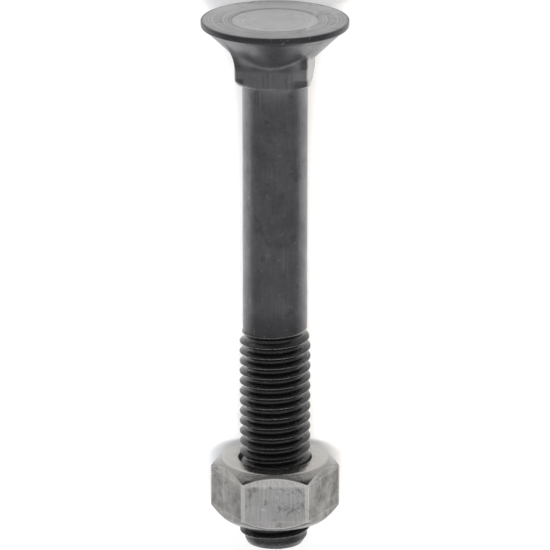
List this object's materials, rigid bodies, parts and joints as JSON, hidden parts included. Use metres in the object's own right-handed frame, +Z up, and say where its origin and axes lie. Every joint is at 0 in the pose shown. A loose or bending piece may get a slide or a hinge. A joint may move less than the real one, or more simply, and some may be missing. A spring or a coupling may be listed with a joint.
{
  "type": "plow bolt",
  "caption": "Flat countersunk plow bolt with a short square neck, a plain shank and a threaded end that carries a plain hexagon nut, lying on its side.",
  "frame": {"origin": "on the surface the bolt lies on, under the middle of its box", "axes": "+Y from the tip towards the head, +Z up; the bolt's axis rises by 1.87 degrees towards the head, because it lies on the head's rim and on one flat of the nut"},
  "size_m": [0.0242, 0.0904, 0.0242],
  "materials": {
    "black_steel": "dark oiled heat-treated steel, satin",
    "bare_steel": "bare grey steel, satin, worn pale at the edges"
  },
  "bodies": {
    "bolt": {"plow_bolt": "black_steel"},
    "nut": {"hex_nut": "bare_steel"}
  },
  "joints": [
    {"name": "nut_travel", "type": "slide", "parent": "bolt", "child": "nut", "axis": [0, 0.9995, 0.0326], "range_m": [-0.0175, 0.01925]}
  ]
}
